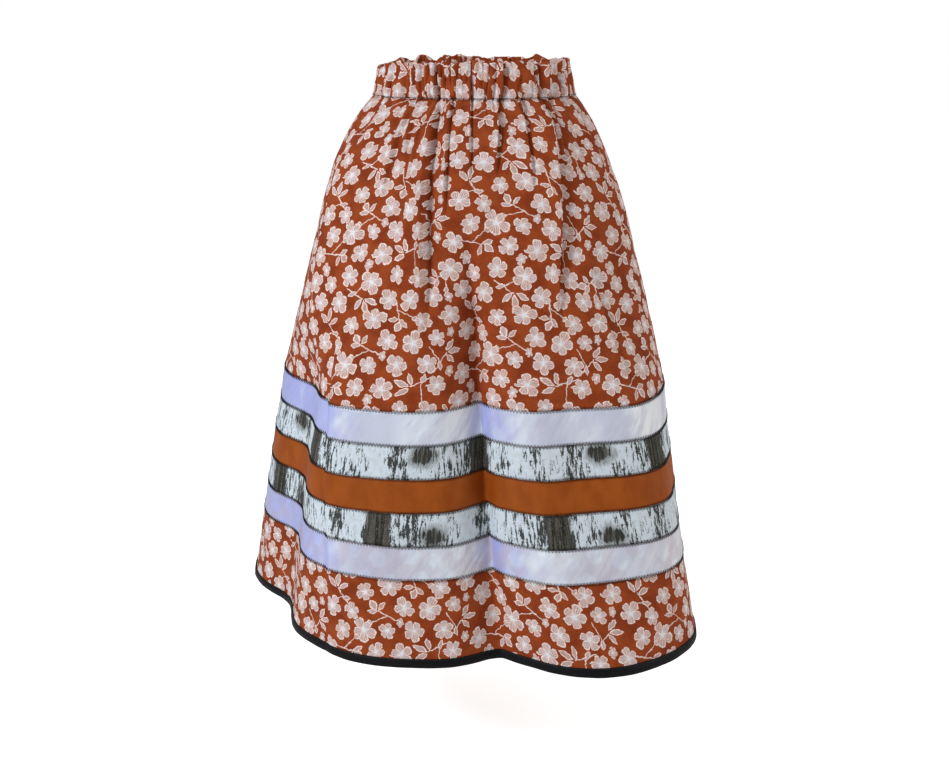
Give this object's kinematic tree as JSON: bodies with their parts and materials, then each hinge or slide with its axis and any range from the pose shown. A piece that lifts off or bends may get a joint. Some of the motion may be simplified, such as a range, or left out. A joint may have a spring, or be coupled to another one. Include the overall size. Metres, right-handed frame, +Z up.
{
  "type": "ribbon skirt",
  "caption": "Full-length A-line ribbon skirt of rust floral cotton: elastic waist, satin, birch-print and plain ribbons round it, black bound hem, in its worn hollow form.",
  "frame": {"origin": "centre of the waist opening at the middle of the casing's height, where the wearer's waist holds the skirt", "axes": "+Z up the wearer, -Y to the wearer's front, +X to the wearer's left"},
  "size_m": [0.7394, 0.6263, 0.8779],
  "materials": {
    "floral_cotton": "matt plain-weave cotton printed with pale outlined flowers on rust",
    "casing_cotton": "the same cotton, gathered over an elastic",
    "white_satin": "glossy polyester satin, lavender in shade",
    "birch_cotton": "matt cotton printed with birch bark",
    "rust_sateen": "plain rust cotton sateen, slight sheen",
    "black_tape": "black polycotton bias tape, low sheen"
  },
  "bodies": {
    "root": {"panel_front": "floral_cotton", "panel_back": "floral_cotton", "waist_casing": "casing_cotton", "ribbon_1_satin": "white_satin", "ribbon_2_birch": "birch_cotton", "ribbon_3_rust": "rust_sateen", "ribbon_4_birch": "birch_cotton", "ribbon_5_satin": "white_satin", "hem_binding": "black_tape"}
  },
  "joints": []
}
